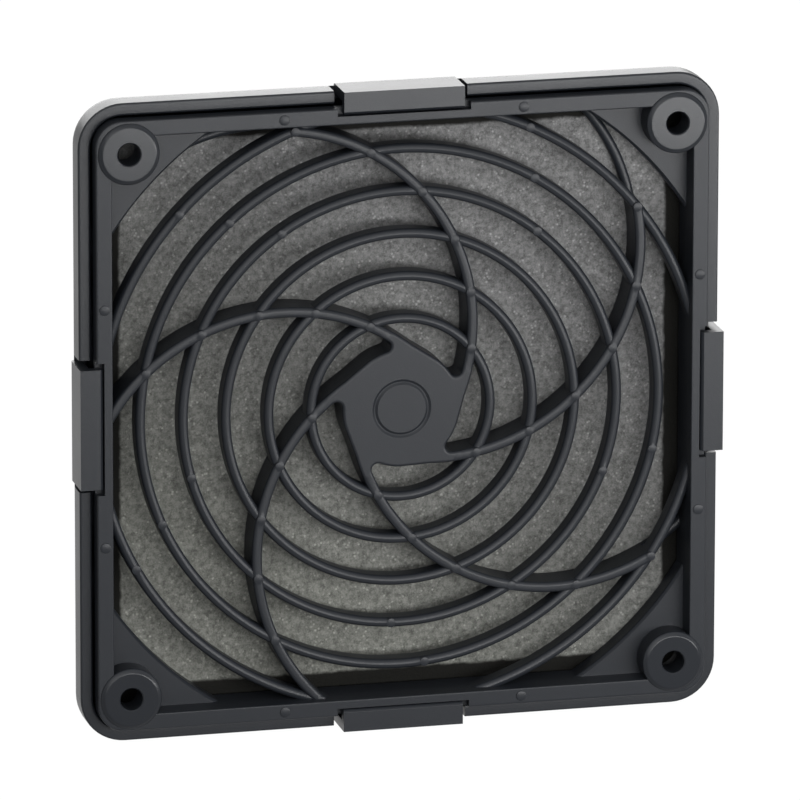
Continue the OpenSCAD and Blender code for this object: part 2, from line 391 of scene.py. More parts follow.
def new_group(name, inputs, outputs):
    """An empty shader node group. inputs gives names and numbers, outputs only names."""
    group = bpy.data.node_groups.new(name, "ShaderNodeTree")
    for socket_name, number in inputs:
        socket = group.interface.new_socket(socket_name, in_out="INPUT", socket_type="NodeSocketFloat")
        socket.default_value = number
    for socket_name in outputs:
        group.interface.new_socket(socket_name, in_out="OUTPUT", socket_type="NodeSocketFloat")
    return group, group.nodes.new("NodeGroupInput"), group.nodes.new("NodeGroupOutput")


def mould_grain():
    """Group: fine grain for the bump, and a slow change for the roughness."""
    inputs = [("Grain per metre", 3500), ("Roughness", 0.4), ("Spread", 0.08)]
    group, inside, out = new_group("mould_grain", inputs, ["Roughness", "Height"])
    nodes, links, given = group.nodes, group.links, inside.outputs
    grain = noise_of(nodes, links, given["Grain per metre"], detail=3, roughness=0.6)
    links.new(grain, out.inputs["Height"])
    slow = noise_of(nodes, links, SLOW_PER_METRE, detail=4)
    centred = worked_out(nodes, links, "SUBTRACT", slow, 0.5)
    spread = worked_out(nodes, links, "MULTIPLY_ADD", centred, given["Spread"], given["Roughness"])
    links.new(spread, out.inputs["Roughness"])
    return group


GRAIN = mould_grain()
print("inputs of the grain:", [item.name for item in GRAIN.interface.items_tree if item.in_out == "INPUT"])

# %% [markdown]
# The tops of the screw bosses are flat and lie on the fan, and they look smoother than the rest of the
# guard. They are the only faces so near to the fan, so the guard's material can find them by their place.

# %% Plastic
BLACK = (0.0076, 0.0087, 0.0108)
GRAIN_DEPTH = 0.00003
GRAIN_STRENGTH = 0.6


def plastic(name, ior, roughness, polished_roughness=None, polished_above=None):
    """Moulded plastic. Faces nearer to the fan than polished_above, in metres, are smoother."""
    material, nodes, links, shader = new_material(name)
    shader.inputs["Base Color"].default_value = (*BLACK, 1)
    shader.inputs["IOR"].default_value = ior
    grain = nodes.new("ShaderNodeGroup")
    grain.node_tree = GRAIN
    grain.inputs["Roughness"].default_value = roughness
    add_bump(nodes, links, shader, grain.outputs["Height"], GRAIN_DEPTH, GRAIN_STRENGTH)
    value = grain.outputs["Roughness"]
    if polished_above is not None:
        place = nodes.new("ShaderNodeTexCoord")
        split = nodes.new("ShaderNodeSeparateXYZ")
        links.new(place.outputs["Object"], split.inputs["Vector"])
        polish = nodes.new("ShaderNodeMapRange")
        polish.inputs["From Min"].default_value = polished_above
        polish.inputs["From Max"].default_value = polished_above * 2
        polish.inputs["To Min"].default_value = 1
        polish.inputs["To Max"].default_value = 0
        links.new(split.outputs["Y"], polish.inputs["Value"])
        mix = nodes.new("ShaderNodeMix")
        links.new(polish.outputs["Result"], mix.inputs["Factor"])
        links.new(value, mix.inputs["A"])
        mix.inputs["B"].default_value = polished_roughness
        value = mix.outputs["Result"]
    links.new(value, shader.inputs["Roughness"])
    return material


GUARD_PLASTIC = plastic("guard_plastic", 1.245, 0.37, 0.22, 0.15 * MM)
COVER_PLASTIC = plastic("cover_plastic", 1.27, 0.34)
print("plastics:", [material.name for material in (GUARD_PLASTIC, COVER_PLASTIC)])

# %% [markdown]
# The frame of the guard is one section carried round a square: a border that is seen from the fan side and
# a wall that reaches forward to the pad. Its rear edges are softly rounded, as on any moulding. Where the
# snap tabs of the cover pass, the border is thinner, and that is cut out at the end.

# %% Guard frame
guard_high = box_mm("guard")[1]
GUARD_HALF = guard_high.x
GUARD_FRONT = guard_high.y
GUARD_CORNER_R = 5.0
BORDER_Y = 0.6
BORDER_WIDTH = 3.05
WALL_THICKNESS = 1.6
WALL_LEAN = 0.3
FLANGE_FRONT = 3.6
CATCH_Y = 2.4
TAB_NOTCH = 25.5
EDGE_R = 0.25
# Cutters reach this far past what they cut
PAST = 1
opening_half = GUARD_HALF - BORDER_WIDTH
wall_out = opening_half + WALL_THICKNESS
# The ribs and webs end in the middle of the wall
rib_end = opening_half + WALL_THICKNESS / 2


def guard_frame():
    """Border and wall of the guard."""
    outline = section(
        [(opening_half, BORDER_Y), (GUARD_HALF, BORDER_Y), (GUARD_HALF, FLANGE_FRONT),
         (wall_out, FLANGE_FRONT), (wall_out, GUARD_FRONT), (opening_half - WALL_LEAN, GUARD_FRONT)],
        [(0, EDGE_R, 3), (1, EDGE_R, 3)],
    )
    return as_object("frame", sweep_square(outline, GUARD_HALF - GUARD_CORNER_R, corner_steps=8))


def tab_notches():
    """What is taken from the border where the four snap tabs pass."""
    past = GUARD_HALF + PAST
    outline = section([(wall_out, -PAST), (past, -PAST), (past, CATCH_Y), (wall_out, CATCH_Y)])
    return as_object("tab_notches", extrude_along(outline, TAB_NOTCH), four_ways())


print("opening of the guard in mm:", round(2 * opening_half, 2))

# %% [markdown]
# The finger guard has six rings and five spokes that curve from the hub to the frame. Each spoke is an arc
# of a circle whose centre lies beside the hub, and the other four are the same spoke turned by a fifth of a
# turn. From the last ring on, a spoke goes on into the corner as a much lower rib.

# %% Rings and spokes
RING_COUNT = 6
RING_FIRST_R = 17.25
RING_STEP = 8.18
RING_WIDTH = 1.9
RING_CREST = 2.55
RING_FOOT = 6.15
RING_CREST_R = 0.92
RING_STEPS = 160
SPOKE_COUNT = 5
SPOKE_WIDTH = 2.0
SPOKE_CREST = 2.25
SPOKE_CREST_R = 0.75
SPOKE_ARC_R = 39.1
SPOKE_STEPS = 64
SPOKE_NEAREST = 9.3
SPOKE_PHASE = radians(148.3)
# Spokes start this far inside the rim of the hub
SPOKE_SINKS = 0.5
LOW_RIB_CREST = 7.4
LOW_RIB_WIDTH = 1.9
LOW_RIB_CREST_R = 0.9
# Low ribs start this much before the last ring, and this far round the arc they are outside the frame
LOW_RIB_OVERLAP = radians(1)
LOW_RIB_END = radians(150)
HUB_R = 11.35
arc_offset = SPOKE_ARC_R - SPOKE_NEAREST
ring_radii = [RING_FIRST_R + index * RING_STEP for index in range(RING_COUNT)]
fifth_turns = [turn_by(2 * pi / SPOKE_COUNT * index) for index in range(SPOKE_COUNT)]
spoke_turns = [turn.to_4x4() for turn in fifth_turns]


def angle_at(distance, radius=SPOKE_ARC_R):
    """Angle at the spoke's centre where an arc of this radius is at this distance from the hub."""
    return acos((arc_offset ** 2 + radius ** 2 - distance ** 2) / (2 * arc_offset * radius))


def crossing_angle(distance, radius=SPOKE_ARC_R):
    """Direction from the hub of the place where an arc of this radius is this far from the axis."""
    return SPOKE_PHASE - acos((distance ** 2 + arc_offset ** 2 - radius ** 2) / (2 * distance * arc_offset))


def rib_section(middle, width, crest, foot, crest_r):
    """Section of a rib with a rounded crest, its middle at this distance from the axis."""
    near, far = middle - width / 2, middle + width / 2
    return section([(near, foot), (near, crest), (far, crest), (far, foot)],
                   [(1, crest_r, 5), (2, crest_r, 5)])


def rings():
    """All rings, in one object because they don't touch."""
    whole = bmesh.new()
    for radius in ring_radii:
        outline = rib_section(radius, RING_WIDTH, RING_CREST, RING_FOOT, RING_CREST_R)
        ring = spin_whole(outline, RING_STEPS)
        add_copy(whole, ring)
        ring.free()
    return as_object("rings", whole)


def arc_rib(name, start, end, outline):
    """Five copies of a rib that runs along the arc of a spoke between two angles at the arc's centre."""
    rib = spin_part(outline, end - start, SPOKE_STEPS)
    bmesh.ops.rotate(rib, verts=rib.verts, cent=(0, 0, 0), matrix=turn_by(SPOKE_PHASE - pi + start))
    move(rib, polar(arc_offset, SPOKE_PHASE))
    return as_object(name, rib, spoke_turns)


def spokes():
    """The tall part of the spokes, from the rim of the hub to the last ring."""
    outline = rib_section(SPOKE_ARC_R, SPOKE_WIDTH, SPOKE_CREST, GUARD_FRONT, SPOKE_CREST_R)
    return arc_rib("spokes", angle_at(HUB_R - SPOKE_SINKS), angle_at(ring_radii[-1]), outline)


def low_ribs():
    """The low ribs that go on from the last ring into the corners."""
    outline = rib_section(SPOKE_ARC_R, LOW_RIB_WIDTH, LOW_RIB_CREST, GUARD_FRONT, LOW_RIB_CREST_R)
    return arc_rib("low_ribs", angle_at(ring_radii[-1]) - LOW_RIB_OVERLAP, LOW_RIB_END, outline)


print("ring radii in mm:", [round(radius, 2) for radius in ring_radii])

# %% [markdown]
# The hub is a shallow cup with its floor toward the fan. It has no round outline of its own: each of its
# five sides starts at the rounded end of a notch and runs straight into the outer edge of a spoke, like a
# pinwheel. So one flat outline is drawn that already has the roots of the spokes, and it is extruded and its
# rim is rounded in one go. Rounding the hub and the spokes one by one would leave a step where they meet.

# %% Hub
# The hub's face lies this much nearer to the fan than the spokes, so that the two never share a surface
HUB_PROUD = 0.01
HUB_Y = SPOKE_CREST - HUB_PROUD
HUB_PLATE = 2.0
HUB_RIM = 1.6
HUB_FILLET_R = 1.15
HUB_EDGE_R = 0.6
ROOT_END = 15.0
SIDE_STARTS = radians(12.8)
SIDE_MEETS_SPOKE = 12.4
GROOVE_R = 5.15
GROOVE_WIDTH = 1.15
GROOVE_DEPTH = 0.4
GROOVE_FLOOR_R = 0.15
GROOVE_PAST = 0.05
# The roots are a little thinner than the spokes, so that the two never share a surface
ROOT_INSET = 0.02
# Every curve of the outline has this many steps
CURVE_STEPS = 8
# Places closer than this count as the same
SLACK = 0.01


def along_arc(radius, start, end):
    """Points of an arc about the centre of the first spoke, between two angles from its nearest point."""
    middle = polar(arc_offset, SPOKE_PHASE)
    turns = [start + (end - start) * step / CURVE_STEPS for step in range(CURVE_STEPS + 1)]
    return [middle + polar(radius, SPOKE_PHASE + pi + turn) for turn in turns]


def root_outline():
    """One fifth of the outline of the hub: a root of a spoke, the notch behind it and a piece of the rim."""
    outer = SPOKE_ARC_R + SPOKE_WIDTH / 2 - ROOT_INSET
    inner = SPOKE_ARC_R - SPOKE_WIDTH / 2 + ROOT_INSET
    direction = crossing_angle(HUB_R + HUB_FILLET_R, inner - HUB_FILLET_R)
    notch = polar(HUB_R + HUB_FILLET_R, direction)
    middle = polar(arc_offset, SPOKE_PHASE)
    from_middle = notch - middle
    points = along_arc(outer, angle_at(SIDE_MEETS_SPOKE, outer), angle_at(ROOT_END, outer))
    touch = angle_at((middle + from_middle.normalized() * inner).length, inner)
    points += along_arc(inner, angle_at(ROOT_END, inner), touch)[:-1]
    start = atan2(from_middle.z, from_middle.x)
    end = direction + pi
    sweep = (end - start + pi) % (2 * pi) - pi
    points += [notch + polar(HUB_FILLET_R, start + sweep * step / CURVE_STEPS)
               for step in range(CURVE_STEPS + 1)]
    rim_end = SPOKE_PHASE + pi + 2 * pi / SPOKE_COUNT + SIDE_STARTS
    rim = (rim_end - direction) % (2 * pi)
    points += [polar(HUB_R, direction + rim * step / CURVE_STEPS) for step in range(1, CURVE_STEPS + 1)]
    return points


def round_edges(bm, edges, radius, steps, clamp):
    """Rounds edges of a solid. clamp keeps neighbouring rounds from running into each other."""
    bmesh.ops.bevel(bm, geom=edges, offset=radius, offset_type="OFFSET", segments=steps, profile=0.5,
                    affect="EDGES", material=-1, clamp_overlap=clamp)


def hub():
    """The pinwheel with its rounded rim, without the hollow of the cup and the groove."""
    bm = bmesh.new()
    fifth = root_outline()
    to_face = Vector((0, HUB_Y, 0))
    bm.faces.new([bm.verts.new(turn @ point + to_face) for turn in fifth_turns for point in fifth])
    extrude_faces(bm, (0, GUARD_FRONT - HUB_Y, 0))
    rim = [edge for edge in bm.edges if max(vert.co.y for vert in edge.verts) < HUB_Y + SLACK]
    round_edges(bm, rim, HUB_EDGE_R, steps=4, clamp=False)
    return as_object("hub", bm)


def cup():
    """The hollow behind the hub's floor."""
    return as_object("cup", disc(HUB_R - HUB_RIM, HUB_Y + HUB_PLATE, GUARD_FRONT + PAST))


def groove():
    """The ring that is taken out of the hub's face."""
    half = GROOVE_WIDTH / 2
    outline = section([(GROOVE_R - half, HUB_Y - GROOVE_PAST), (GROOVE_R + half, HUB_Y - GROOVE_PAST),
                       (GROOVE_R, HUB_Y + GROOVE_DEPTH)], [(2, GROOVE_FLOOR_R, 4)])
    return as_object("groove", spin_whole(outline, steps=96))


print("the outline of the hub has", SPOKE_COUNT * len(root_outline()), "points")

# %% [markdown]
# Each corner has a web that ends in an arc about the hub, with a skirt along the arc. Four such corners are
# what is left of a square slab when a round space is taken out of it, so webs and skirts are made that way.
# The cutter of the space widens at its mouth, and that leaves the rounded edge of the webs.

# %% Corner webs
WEB_R = 65.5
WEB_Y = 4.8
WEB_THICKNESS = 1.6
WEB_EDGE_R = 0.5
WEB_MOUTH_R = 0.2


def inside_webs(name):
    """The round space inside the webs, wider at its mouth."""
    mouth = WEB_R + WEB_EDGE_R
    outline = section([(0, WEB_Y - PAST), (mouth + PAST, WEB_Y - PAST), (mouth, WEB_Y),
                       (WEB_R, WEB_Y + WEB_EDGE_R), (WEB_R, GUARD_FRONT + PAST), (0, GUARD_FRONT + PAST)],
                      [(2, WEB_MOUTH_R, 3), (3, WEB_MOUTH_R, 3)])
    return as_object(name, spin_whole(outline, ROUND_STEPS))


def webs():
    """The four corner webs: what the round space leaves of a square slab."""
    plate = as_object("web_plate", block(rib_end, WEB_Y, WEB_Y + WEB_THICKNESS))
    return combine("webs", plate, [("DIFFERENCE", inside_webs("web_space"))])


def skirts():
    """The skirts along the arcs of the webs."""
    slab = as_object("skirt_slab", block(rib_end, WEB_Y, GUARD_FRONT))
    outer = as_object("skirt_outer", disc(WEB_R + WEB_THICKNESS, WEB_Y - PAST, GUARD_FRONT + PAST))
    return combine("skirts", slab, [("INTERSECT", outer), ("DIFFERENCE", inside_webs("skirt_space"))])


print("the webs end", WEB_R, "mm from the axis, the frame's corners", round(hypot(rib_end, rib_end), 1))

# %% [markdown]
# The screw bosses stand a little proud of the border, so that only they touch the fan. Each is one section
# spun round its own hole: a flat top, a sloping shoulder that looks darker than the top, and a straight side.
# The holes and the recesses for the screw heads are spun in the same way and taken out at the end.

# %% Screw bosses
HOLE_PITCH = 105.0
HOLE_R = 2.15
HOLE_MOUTH = 0.2
HEAD_R = 4.2
HEAD_Y = 5.5
BOSS_R = 5.9
BOSS_TOP_R = 5.1
BOSS_TOP_EDGE_R = 0.15
BOSS_SHOULDER = 0.5
BOSS_EDGE_R = 0.25
corner_places = [
    Matrix.Translation((x * HOLE_PITCH / 2, 0, z * HOLE_PITCH / 2)) for x in (-1, 1) for z in (-1, 1)
]


def bosses():
    """The four screw bosses, still without holes."""
    outline = section(
        [(0, 0), (BOSS_TOP_R, 0), (BOSS_R, BOSS_SHOULDER), (BOSS_R, GUARD_FRONT), (0, GUARD_FRONT)],
        [(1, BOSS_TOP_EDGE_R, 3), (2, BOSS_EDGE_R, 4)],
    )
    return as_object("bosses", spin_whole(outline, steps=72), corner_places)


def screw_holes():
    """What the mould's pins leave open: the hole with a softened mouth and the recess for the head."""
    past = GUARD_FRONT + PAST
    outline = section([
        (0, -PAST), (HOLE_R + HOLE_MOUTH + PAST, -PAST), (HOLE_R + HOLE_MOUTH, 0), (HOLE_R, HOLE_MOUTH),
        (HOLE_R, HEAD_Y), (HEAD_R, HEAD_Y), (HEAD_R, past), (0, past),
    ])
    return as_object("screw_holes", spin_whole(outline, steps=48), corner_places)


print("screw holes in mm:", [tuple(place.translation) for place in corner_places])

# %% [markdown]
# The pins that pushed the guard out of its mould left round pads on the ribs and round nibs on the border.
# All are one short section, spun and then copied to its places. Where a spoke crosses a ring is worked out
# from the arc of the spoke, so that the pads stay on the crossings.

# %% Marks of the mould
MARK_R = 0.88
MARK_PROUD = 0.02
MARK_DEPTH = 1
NIB_R = 1.0
NIB_PROUD = 0.15
NIB_DEPTH = 0.4
NIB_OFFSET = 22.9
MARK_EDGE_R = 0.12
# Round pads on the rings between the spokes: number of the ring and direction from the hub
RING_MARKS = [(4, radians(51.3)), (5, radians(59.2)), (6, radians(64.9))]


def marks(name, crest, depth, radius, places):
    """Round pads with a softened rim, whose top is at this depth."""
    outline = section([(0, crest), (radius, crest), (radius, crest + depth), (0, crest + depth)],
                      [(1, MARK_EDGE_R, 2)])
    return as_object(name, spin_whole(outline, steps=24), places)


def pads_at(name, crest, spots):
    """Pads on spots of the first fifth of the guard and on the same spots of the other four."""
    places = [turn @ Matrix.Translation(spot) for turn in spoke_turns for spot in spots]
    return marks(name, crest - MARK_PROUD, MARK_DEPTH, MARK_R, places)


def nibs():
    """Two nibs on each side of the border."""
    middle = GUARD_HALF - BORDER_WIDTH / 2
    places = [turn @ Matrix.Translation((middle, 0, side * NIB_OFFSET))
              for turn in four_ways() for side in (-1, 1)]
    return marks("nibs", BORDER_Y - NIB_PROUD, NIB_DEPTH, NIB_R, places)


crossings = [polar(radius, crossing_angle(radius)) for radius in ring_radii]
between = [polar(ring_radii[number - 1], angle) for number, angle in RING_MARKS]
print("pads on each fifth of the guard:", len(crossings) + len(between))

# %% [markdown]
# Now the guard is put together. Rings, spokes and hub become one lattice first, because the groove, the cup
# and the inside of the wall are cut from them alone. Then the frame takes in everything else.

# %% Guard
def make_guard():
    """The whole guard as one closed mesh."""
    lattice = combine("lattice", rings(), [
        ("UNION", spokes()), ("UNION", low_ribs()), ("UNION", hub()),
        ("UNION", pads_at("spoke_pads", SPOKE_CREST, crossings)),
        ("UNION", pads_at("ring_pads", RING_CREST, between)),
        ("DIFFERENCE", groove()), ("DIFFERENCE", cup()),
        ("INTERSECT", as_object("inside_wall", block(rib_end, 0, GUARD_FRONT))),
    ])
    return combine("guard_moulding", guard_frame(), [
        ("UNION", webs()), ("UNION", skirts()), ("UNION", lattice), ("UNION", bosses()), ("UNION", nibs()),
        ("DIFFERENCE", screw_holes()), ("DIFFERENCE", tab_notches()),
    ])


guard = finish_piece(make_guard(), "guard", GUARD_PLASTIC)
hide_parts("guard")

# %% [markdown]
# The cover is a shallow tray with a rounded front edge. Its wall is a section carried round a square, like
# the guard's frame, and it holds the rim, the rounded edge and the fillet inside in one outline.

# %% Cover wall
cover_low, cover_high = box_mm("cover")
COVER_HALF = cover_high.x
COVER_FRONT = cover_high.y
COVER_REAR = cover_low.y
COVER_CORNER_R = 8.5
FRONT_EDGE_R = 6.7
RIM_WIDTH = 2.4
RIM_EDGE_R = 0.4
RIM_INNER_EDGE_R = 0.5
PLATE_THICKNESS = 1.4
rim_in = COVER_HALF - RIM_WIDTH
plate_y = COVER_FRONT - PLATE_THICKNESS
cover_straight = COVER_HALF - COVER_CORNER_R


def cover_wall():
    """Rim and rounded front edge, out to where the flat plate starts."""
    outline = section(
        [(rim_in, COVER_REAR), (COVER_HALF, COVER_REAR), (COVER_HALF, COVER_FRONT),
         (cover_straight, COVER_FRONT), (cover_straight, plate_y), (rim_in, plate_y)],
        [(0, RIM_INNER_EDGE_R, 3), (1, RIM_EDGE_R, 4), (2, FRONT_EDGE_R, 12),
         (5, FRONT_EDGE_R - RIM_WIDTH, 8)],
    )
    return as_object("cover_wall", sweep_square(outline, cover_straight, corner_steps=12))


print("inside of the cover's rim in mm:", round(2 * rim_in, 2))

# %% [markdown]
# The front of the cover is one flat face that is cut along every slat and rib, so that the windows can be
# picked out and deleted before the plate gets its thickness. The cuts leave all slats joined, which separate
# bars wouldn't be.

# %% Cover front
WINDOW_HALF = 51.0
SLAT_HEIGHT = 2.2
ROW_COUNT = 17
COLUMN_COUNT = 4
RIB_WIDTH = 2.0
SLAT_EDGE_R = 0.35
CUT_WITHIN = 1e-5
# Edges that turn more than this are corners, and get rounded
CORNER_ABOVE = radians(60)


def window_lines(count, bar):
    """Both edges of every opening along one side of the window."""
    pitch = (2 * WINDOW_HALF + bar) / count
    starts = [index * pitch - WINDOW_HALF for index in range(count)]
    return [(start, start + pitch - bar) for start in starts]


def open_at(value, lines):
    """Whether a place lies in one of the openings."""
    return any(low < value < high for low, high in lines)


def cut_at(bm, point, normal):
    """Cuts all faces along the plane through this point."""
    bmesh.ops.bisect_plane(bm, geom=bm.verts[:] + bm.edges[:] + bm.faces[:], dist=CUT_WITHIN,
                           plane_co=point, plane_no=normal)


def cover_plate():
    """The flat front with its slats and ribs."""
    rows = window_lines(ROW_COUNT, SLAT_HEIGHT)
    columns = window_lines(COLUMN_COUNT, RIB_WIDTH)
    bm = bmesh.new()
    bmesh.ops.create_grid(bm, x_segments=1, y_segments=1, size=cover_straight)
    bmesh.ops.rotate(bm, verts=bm.verts, cent=(0, 0, 0), matrix=Matrix.Rotation(pi / 2, 3, "X"))
    move(bm, (0, plate_y, 0))
    for normal, lines in (((1, 0, 0), columns), ((0, 0, 1), rows)):
        for place in [edge for line in lines for edge in line]:
            cut_at(bm, Vector(normal) * place, normal)
    windows = [
        face for face in bm.faces
        if open_at(face.calc_center_median().x, columns) and open_at(face.calc_center_median().z, rows)
    ]
    bmesh.ops.delete(bm, geom=windows, context="FACES")
    extrude_faces(bm, (0, PLATE_THICKNESS, 0))
    bmesh.ops.recalc_face_normals(bm, faces=bm.faces)
    front = [
        edge for edge in bm.edges
        if len(edge.link_faces) == 2 and edge.calc_face_angle() > CORNER_ABOVE
        and max(abs(vert.co.x) for vert in edge.verts) < WINDOW_HALF + SLACK
        and max(abs(vert.co.z) for vert in edge.verts) < WINDOW_HALF + SLACK
        and min(vert.co.y for vert in edge.verts) > COVER_FRONT - SLACK
    ]
    round_edges(bm, front, SLAT_EDGE_R, steps=3, clamp=True)
    return as_object("cover_plate", bm)


print("height of an opening in mm:", round(window_lines(ROW_COUNT, SLAT_HEIGHT)[0][1] + WINDOW_HALF, 2))

# %% [markdown]
# The tabs stand in cuts in the rim, and each has a round root that turns in a round seat. The seats are a
# little larger than the roots, so that a tab can bend outward and never cuts into the cover.

# %% Cover
HINGE_Y = 8.1
ROOT_R = 1.0
ROOT_GAP = 0.1


def tab_cuts():
    """The four cuts in the rim that the tabs stand in, with the round seats of their roots."""
    hinge_half = box_mm("snap_tab_right")[1].x - ROOT_R
    slot = section([(rim_in - PAST, COVER_REAR - PAST), (COVER_HALF + PAST, COVER_REAR - PAST),
                    (COVER_HALF + PAST, HINGE_Y), (rim_in - PAST, HINGE_Y)])
    slots = as_object("tab_slots", extrude_along(slot, TAB_NOTCH), four_ways())
    seat = bmesh.new()
    seat_r = ROOT_R + ROOT_GAP
    bmesh.ops.create_cone(seat, cap_ends=True, segments=32, radius1=seat_r, radius2=seat_r, depth=TAB_NOTCH)
    move(seat, (hinge_half, HINGE_Y, 0))
    return slots, as_object("tab_seats", seat, four_ways())


def make_cover():
    """The whole cover as one closed mesh."""
    slots, seats = tab_cuts()
    return combine("cover_moulding", cover_wall(), [
        ("UNION", cover_plate()), ("DIFFERENCE", slots), ("DIFFERENCE", seats),
    ])


cover = finish_piece(make_cover(), "cover", COVER_PLASTIC)
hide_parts("cover")

# %% [markdown]
# Each snap tab is one flat section, the arm with its hook and its round root, given the width of the tab.
# Its edges are bevelled afterwards, because here the ends of the long edges have to be rounded too.

# %% Snap tabs
ARM_THICKNESS = 2.0
HOOK_THICKNESS = 1.8
HOOK_CHAMFER = 0.5
TAB_EDGE_R = 0.25
TAB_CORNER_ABOVE = radians(40)


def make_tab(side, angle):
    """One tab, modelled on the right and turned to its side."""
    low, high = box_mm("snap_tab_right")
    out, tip = high.x, low.x
    rear, front = low.y, high.y
    hook_front = rear + HOOK_THICKNESS
    arm_in = out - ARM_THICKNESS
    bm = section(
        [(out, front), (out, rear), (tip + HOOK_CHAMFER, rear), (tip, rear + HOOK_CHAMFER),
         (tip, hook_front), (arm_in, hook_front), (arm_in, front)],
        [(0, ROOT_R - SLACK, 6), (6, ROOT_R - SLACK, 6)],
    )
    extrude_along(bm, high.z - low.z)
    bmesh.ops.recalc_face_normals(bm, faces=bm.faces)
    sharp = [
        edge for edge in bm.edges
        if edge.calc_face_angle() > TAB_CORNER_ABOVE
        and min(vert.co.y for vert in edge.verts) < HINGE_Y - ROOT_R
    ]
    round_edges(bm, sharp, TAB_EDGE_R, steps=3, clamp=True)
    bmesh.ops.rotate(bm, verts=bm.verts, cent=(0, 0, 0), matrix=turn_by(angle))
    tab = finish_piece(as_object(f"tab_{side}", bm), f"snap_tab_{side}", COVER_PLASTIC)
    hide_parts(f"snap_tab_{side}")
    return tab


for side, angle in (("right", 0), ("top", pi / 2), ("left", pi), ("bottom", -pi / 2)):
    make_tab(side, angle)

# %% [markdown]
# The filter pad is a sheet of grey open-cell foam. Its surface is a crust of tiny cells: some of their walls
# catch the light, others are holes. They are far too many to model, so they are in the material, with the
# walls that catch the light painted in as light specks. Along the edge the guard's wall shades the squeezed
# foam, and a painted shadow makes it nearly black there; it is told by the distance from the middle, with a
# little noise so that the dark margin isn't ruled. Toward its lower left the foam is more olive.

# %% Foam material
CELLS_PER_METRE = 1250
WALLS_PER_METRE = 1300
SPARSE_PER_METRE = 800
HOLE_GREY = 0.044
CRUST_GREY = 0.121
# Colour of the painted glints, where cell walls catch the light
GLINT_PAINT_GREY = 0.19
OLIVE = (0.985, 1.0, 0.905)
OLIVE_BELOW = -45 * MM
GREY_ABOVE = 34 * MM
# To the left counts this much toward olive, beside what downward does
SIDEWAYS_SHARE = 0.6
# Painted shadow of the guard's wall along the edge of the pad
EDGE_SHADOW_PAINT = (0.004, 0.0039, 0.0033)
# How far out in millimetres the painted shadow starts, and in metres how far its border wanders
DARK_FROM = 52.4
DARK_RAMP = (-0.3, 0.5)
BORDER_WANDER = 0.0008
BORDER_PER_METRE = 400
CELL_DEPTH = 0.00035
CELL_STRENGTH = 0.45


def grey(value):
    """A neutral colour."""
    return (value, value, value)


def foam_material():
    """Grey open-cell foam: a fine crust of cells, with painted glints on a few cell walls and a painted
    shadow along the edge.
    """
    material, nodes, links, shader = new_material("filter_foam")
    shader.inputs["Roughness"].default_value = 0.85
    shader.inputs["Specular IOR Level"].default_value = 0.1
    place = nodes.new("ShaderNodeTexCoord")
    split = nodes.new("ShaderNodeSeparateXYZ")
    links.new(place.outputs["Object"], split.inputs["Vector"])

    def ramp_of(value, stops):
        ramp = nodes.new("ShaderNodeValToRGB")
        for element, (position, level) in zip(ramp.color_ramp.elements, stops):
            element.position = position
            element.color = (*grey(level), 1)
        links.new(value, ramp.inputs["Fac"])
        return ramp.outputs["Color"]

    def range_of(value, start, end, kind="LINEAR"):
        mapped = nodes.new("ShaderNodeMapRange")
        mapped.interpolation_type = kind
        mapped.inputs["From Min"].default_value = start
        mapped.inputs["From Max"].default_value = end
        links.new(value, mapped.inputs["Value"])
        return mapped.outputs["Result"]

    def mixed(factor, first, second, blend="MIX"):
        mix = nodes.new("ShaderNodeMix")
        mix.data_type = "RGBA"
        mix.blend_type = blend
        for socket, value in (("Factor", factor), ("A", first), ("B", second)):
            feed(links, mix.inputs[socket], value)
        return mix.outputs["Result"]

    def maths(operation, *values):
        return worked_out(nodes, links, operation, *values)

    cells = noise_of(nodes, links, CELLS_PER_METRE, detail=4, roughness=0.76)
    crust = ramp_of(cells, [(0.34, HOLE_GREY), (0.66, CRUST_GREY)])
    # Painted glints: light specks on a few cell walls that catch the light
    walls = nodes.new("ShaderNodeTexVoronoi")
    walls.inputs["Scale"].default_value = WALLS_PER_METRE
    links.new(place.outputs["Object"], walls.inputs["Vector"])
    painted_glints = ramp_of(walls.outputs["Distance"], [(0.05, 1), (0.42, 0)])
    sparse = ramp_of(noise_of(nodes, links, SPARSE_PER_METRE), [(0.47, 0), (0.62, 1)])
    colour = mixed(mixed(1.0, painted_glints, sparse, "MULTIPLY"), crust, grey(GLINT_PAINT_GREY))
    x, z = split.outputs["X"], split.outputs["Z"]
    corner = maths("ADD", maths("MULTIPLY", x, SIDEWAYS_SHARE), z)
    tint = mixed(range_of(corner, OLIVE_BELOW, GREY_ABOVE), OLIVE, (1.0, 1.0, 1.0))
    colour = mixed(1.0, colour, tint, "MULTIPLY")
    # Painted shadow of the guard's wall: the colour goes nearly black near the edge of the pad
    reach = maths("MAXIMUM", maths("ABSOLUTE", x), maths("ABSOLUTE", z))
    wander = noise_of(nodes, links, BORDER_PER_METRE)
    ragged = maths("MULTIPLY_ADD", wander, BORDER_WANDER, -BORDER_WANDER / 2)
    start, end = ((DARK_FROM + step) * MM for step in DARK_RAMP)
    painted_edge_shadow = range_of(maths("ADD", reach, ragged), start, end, "SMOOTHSTEP")
    colour = mixed(painted_edge_shadow, colour, EDGE_SHADOW_PAINT)
    links.new(colour, shader.inputs["Base Color"])
    add_bump(nodes, links, shader, cells, CELL_DEPTH, CELL_STRENGTH)
    return material


FOAM = foam_material()
print("nodes in the foam's material:", len(FOAM.node_tree.nodes))

# %% [markdown]
# From a distance the pad is flat, but along its edges it is pinched between the guard's wall and the cover.
# Foam this stiff doesn't drape, so no cloth is simulated: a block is cut into small faces and each point is
# moved by a rule. The rear curls forward near the edge, the edge is pressed out past the guard's wall and
# tapers toward the front, the corners are rounded, and a slow noise keeps all of it from being exact.

